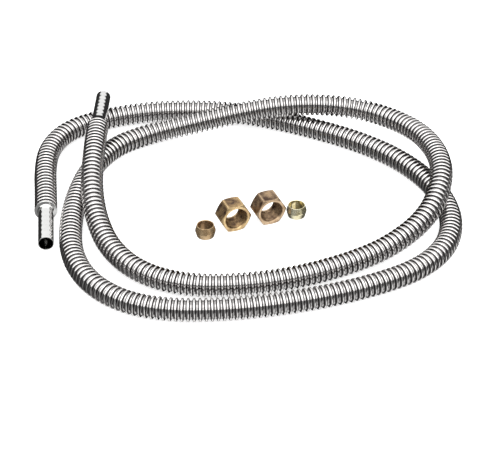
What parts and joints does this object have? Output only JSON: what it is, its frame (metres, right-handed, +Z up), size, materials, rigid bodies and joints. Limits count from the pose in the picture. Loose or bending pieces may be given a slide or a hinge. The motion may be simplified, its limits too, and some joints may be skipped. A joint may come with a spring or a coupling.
{
  "type": "immersion wort chiller",
  "caption": "Loose coil of corrugated stainless steel tube with plain ends, and loose brass compression nuts and ferrules, for cooling hot wort.",
  "frame": {"origin": "on the surface that the coil lies on, under the middle of the whole", "axes": "+Z up, +X along the coil's longer side; the mouth of end A faces -Y and the mouth of end B faces +Y"},
  "size_m": [0.3597, 0.3134, 0.041],
  "materials": {
    "corrugated_steel": "bright, mirror-like convolutions",
    "plain_steel": "bright, drawn tube",
    "nut_brass_left": "aged, brown in the hollows, polished on the edges",
    "nut_brass_right": "aged, duller and browner",
    "ferrule_brass_left": "satin turned brass",
    "ferrule_brass_right": "bright turned brass"
  },
  "bodies": {
    "root": {"corrugated_tube": "corrugated_steel", "plain_end_a": "plain_steel", "plain_end_b": "plain_steel"},
    "nut_left": {"compression_nut_left": "nut_brass_left"},
    "nut_right": {"compression_nut_right": "nut_brass_right"},
    "ferrule_left": {"ferrule_left": "ferrule_brass_left"},
    "ferrule_right": {"ferrule_right": "ferrule_brass_right"}
  },
  "joints": [
    {"name": "lift_nut_left", "type": "slide", "parent": "root", "child": "nut_left", "axis": [0, 0, 1], "range_m": [0, 0.1]},
    {"name": "lift_nut_right", "type": "slide", "parent": "root", "child": "nut_right", "axis": [0, 0, 1], "range_m": [0, 0.1]},
    {"name": "lift_ferrule_left", "type": "slide", "parent": "root", "child": "ferrule_left", "axis": [0, 0, 1], "range_m": [0, 0.1]},
    {"name": "lift_ferrule_right", "type": "slide", "parent": "root", "child": "ferrule_right", "axis": [0, 0, 1], "range_m": [0, 0.1]}
  ]
}
